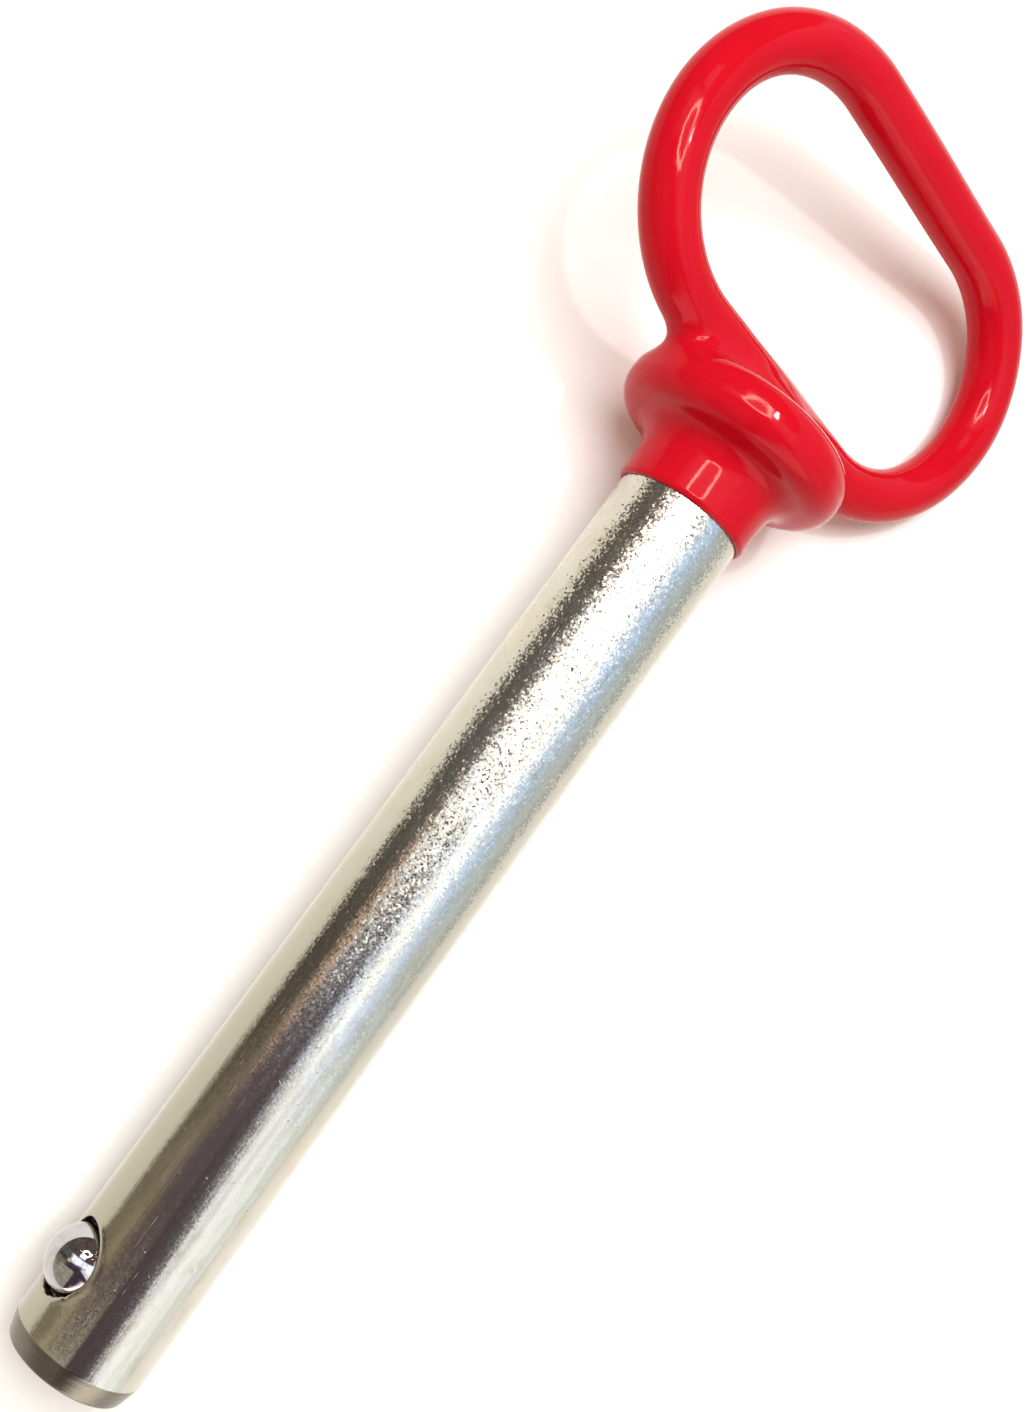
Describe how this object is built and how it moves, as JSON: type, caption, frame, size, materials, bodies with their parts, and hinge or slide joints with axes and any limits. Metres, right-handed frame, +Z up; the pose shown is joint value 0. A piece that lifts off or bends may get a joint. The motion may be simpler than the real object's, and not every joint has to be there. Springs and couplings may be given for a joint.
{
  "type": "hitch pin",
  "caption": "Round steel drawbar hitch pin with a coated loop handle and stop collar, and a spring-loaded detent ball near its chamfered tip.",
  "frame": {"origin": "on the ground, under the middle of the pin as it lies", "axes": "+X along the bar from the chamfered tip to the handle, +Y to the side the ball stands out of, +Z up from the ground"},
  "size_m": [0.274, 0.0994, 0.0511],
  "materials": {
    "zinc_plated_steel": "bright zinc plate over drawn steel, faintly yellow passivate",
    "ball_steel": "polished hardened ball",
    "spring_steel": "drawn spring wire, oiled",
    "bare_steel": "plain mill steel, hidden under the coating",
    "red_vinyl": "glossy dipped vinyl"
  },
  "bodies": {
    "pin": {"pin_bar": "zinc_plated_steel", "detent_spring": "spring_steel", "stop_collar": "bare_steel", "collar_weld": "bare_steel", "handle_rod": "bare_steel", "handle_weld_upper": "bare_steel", "handle_weld_lower": "bare_steel", "handle_coating": "red_vinyl"},
    "ball": {"detent_ball": "ball_steel"}
  },
  "joints": [
    {"name": "ball_press", "type": "slide", "parent": "pin", "child": "ball", "axis": [0.0224, -0.9119, -0.4098], "range_m": [0, 0.0035], "stiffness_N_per_m": 2500, "springref_m": -0.005, "deforming": ["detent_spring"]}
  ]
}
